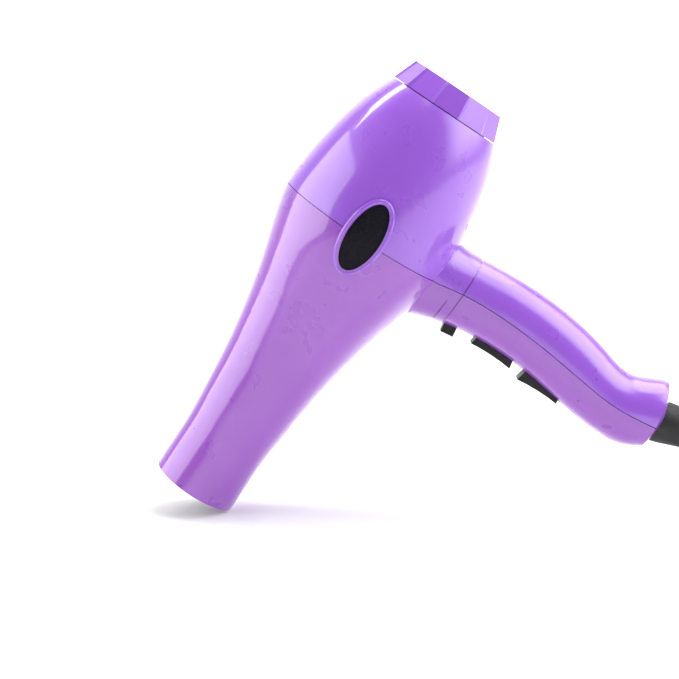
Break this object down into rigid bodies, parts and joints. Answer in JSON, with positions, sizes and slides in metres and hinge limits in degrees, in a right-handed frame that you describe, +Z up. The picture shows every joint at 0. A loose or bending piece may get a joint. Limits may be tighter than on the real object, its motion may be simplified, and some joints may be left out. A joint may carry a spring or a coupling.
{
  "type": "travel hair dryer",
  "caption": "Compact pistol hair dryer: tapered two-shell barrel, curved handle, rocker switches, cool button, twist-off filter cap and mains lead.",
  "frame": {"origin": "centre of the air outlet's rim plane, on the barrel's axis", "axes": "+Z up, +Y across the dryer, away from the badge_left side; +X towards the handle. The barrel's axis rises at 56.56 degrees from +X in the XZ plane, which is the plane of symmetry"},
  "size_m": [0.3632, 0.1357, 0.1993],
  "materials": {
    "shell": "gloss purple",
    "badge": "gloss black",
    "black_plastic": "satin black",
    "grey_plastic": "matte",
    "rubber": "satin",
    "cord": "satin",
    "steel": "bright",
    "motor_steel": "plated",
    "magnet": "dull",
    "copper": "enamelled",
    "brass": "bright",
    "mica": "satin",
    "board": "satin",
    "mesh": "woven",
    "insulation_brown": "satin",
    "insulation_blue": "satin"
  },
  "bodies": {
    "housing": {"front_shell": "shell", "rear_shell": "shell", "badge_left": "badge", "badge_right": "badge", "outlet_grille": "black_plastic", "heater_sleeve": "mica", "mica_plate_upright": "mica", "mica_plate_flat": "mica", "heating_wire": "steel", "thermostat": "brass", "thermal_fuse": "steel", "motor_can": "motor_steel", "motor_end_cap": "grey_plastic", "motor_magnets": "magnet", "motor_mount": "black_plastic", "rectifier_board": "board", "diodes": "black_plastic", "intake_grille": "black_plastic", "heat_switch": "grey_plastic", "speed_switch": "grey_plastic", "heat_rocker_pin": "steel", "speed_rocker_pin": "steel", "cold_shot_switch": "grey_plastic", "handle_screw": "steel", "cord_clamp": "grey_plastic", "clamp_seat": "grey_plastic", "clamp_screws": "steel", "live_lead": "insulation_brown", "neutral_lead": "insulation_blue", "cord_boot": "rubber", "inner_cable": "cord", "power_cord": "cord", "plug_lead": "cord", "cord_coil": "cord", "cord_tie": "black_plastic", "plug_body": "rubber", "plug_pins": "brass"},
    "rotor": {"fan_impeller": "grey_plastic", "armature": "copper", "motor_shaft": "steel"},
    "heat_rocker": {"heat_rocker": "black_plastic"},
    "speed_rocker": {"speed_rocker": "black_plastic"},
    "cold_shot": {"cold_shot_button": "black_plastic"},
    "filter": {"filter_frame": "black_plastic", "filter_mesh": "mesh"},
    "cap": {"filter_cap": "shell"}
  },
  "joints": [
    {"name": "fan_spin", "type": "hinge", "parent": "housing", "child": "rotor", "pos_m": [0.08542, 0, 0.12934], "axis": [0.5511, 0, 0.8345], "continuous": true},
    {"name": "heat_rocker_tilt", "type": "hinge", "parent": "housing", "child": "heat_rocker", "pos_m": [0.1345, 0, 0.06529], "axis": [0, 1, 0], "range_deg": [-8.5, 8.5]},
    {"name": "speed_rocker_tilt", "type": "hinge", "parent": "housing", "child": "speed_rocker", "pos_m": [0.15493, 0, 0.04961], "axis": [0, 1, 0], "range_deg": [0, 17]},
    {"name": "cold_shot_press", "type": "slide", "parent": "housing", "child": "cold_shot", "axis": [0.4296, 0, 0.903], "range_m": [0, 0.002], "stiffness_N_per_m": 600, "springref_m": -0.001},
    {"name": "filter_pull", "type": "slide", "parent": "housing", "child": "filter", "axis": [0.5511, 0, 0.8345], "range_m": [0, 0.025]},
    {"name": "cap_twist", "type": "hinge", "parent": "filter", "child": "cap", "pos_m": [0.11297, 0, 0.17106], "axis": [0.5511, 0, 0.8345], "range_deg": [0, 30]}
  ]
}
